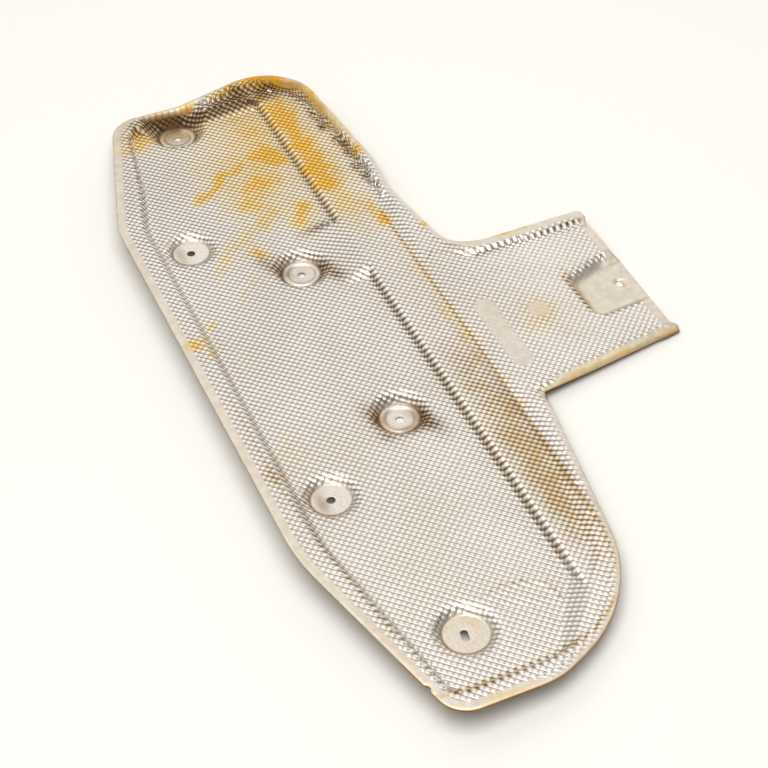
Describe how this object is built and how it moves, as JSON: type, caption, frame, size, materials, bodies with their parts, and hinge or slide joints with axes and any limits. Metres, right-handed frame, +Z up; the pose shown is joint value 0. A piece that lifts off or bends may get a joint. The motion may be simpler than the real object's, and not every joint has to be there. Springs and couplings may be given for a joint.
{
  "type": "heat shield",
  "caption": "Pressed and embossed aluminium heat shield with sunk screw pads, a raised strip, a side tab with a sunk seat and a hemmed edge.",
  "frame": {"origin": "centre of the hole in the deep middle pad, on the pad's underside", "axes": "+Y along the length of the sheet, +X towards the side tab, +Z up from the floor on which the sheet lies; the sheet leans 3.8 degrees down towards the tab"},
  "size_m": [0.3318, 0.6581, 0.0247],
  "materials": {
    "embossed_sheet": "satin embossed sheet with brown and orange staining"
  },
  "bodies": {
    "root": {"shield_sheet": "embossed_sheet"}
  },
  "joints": []
}
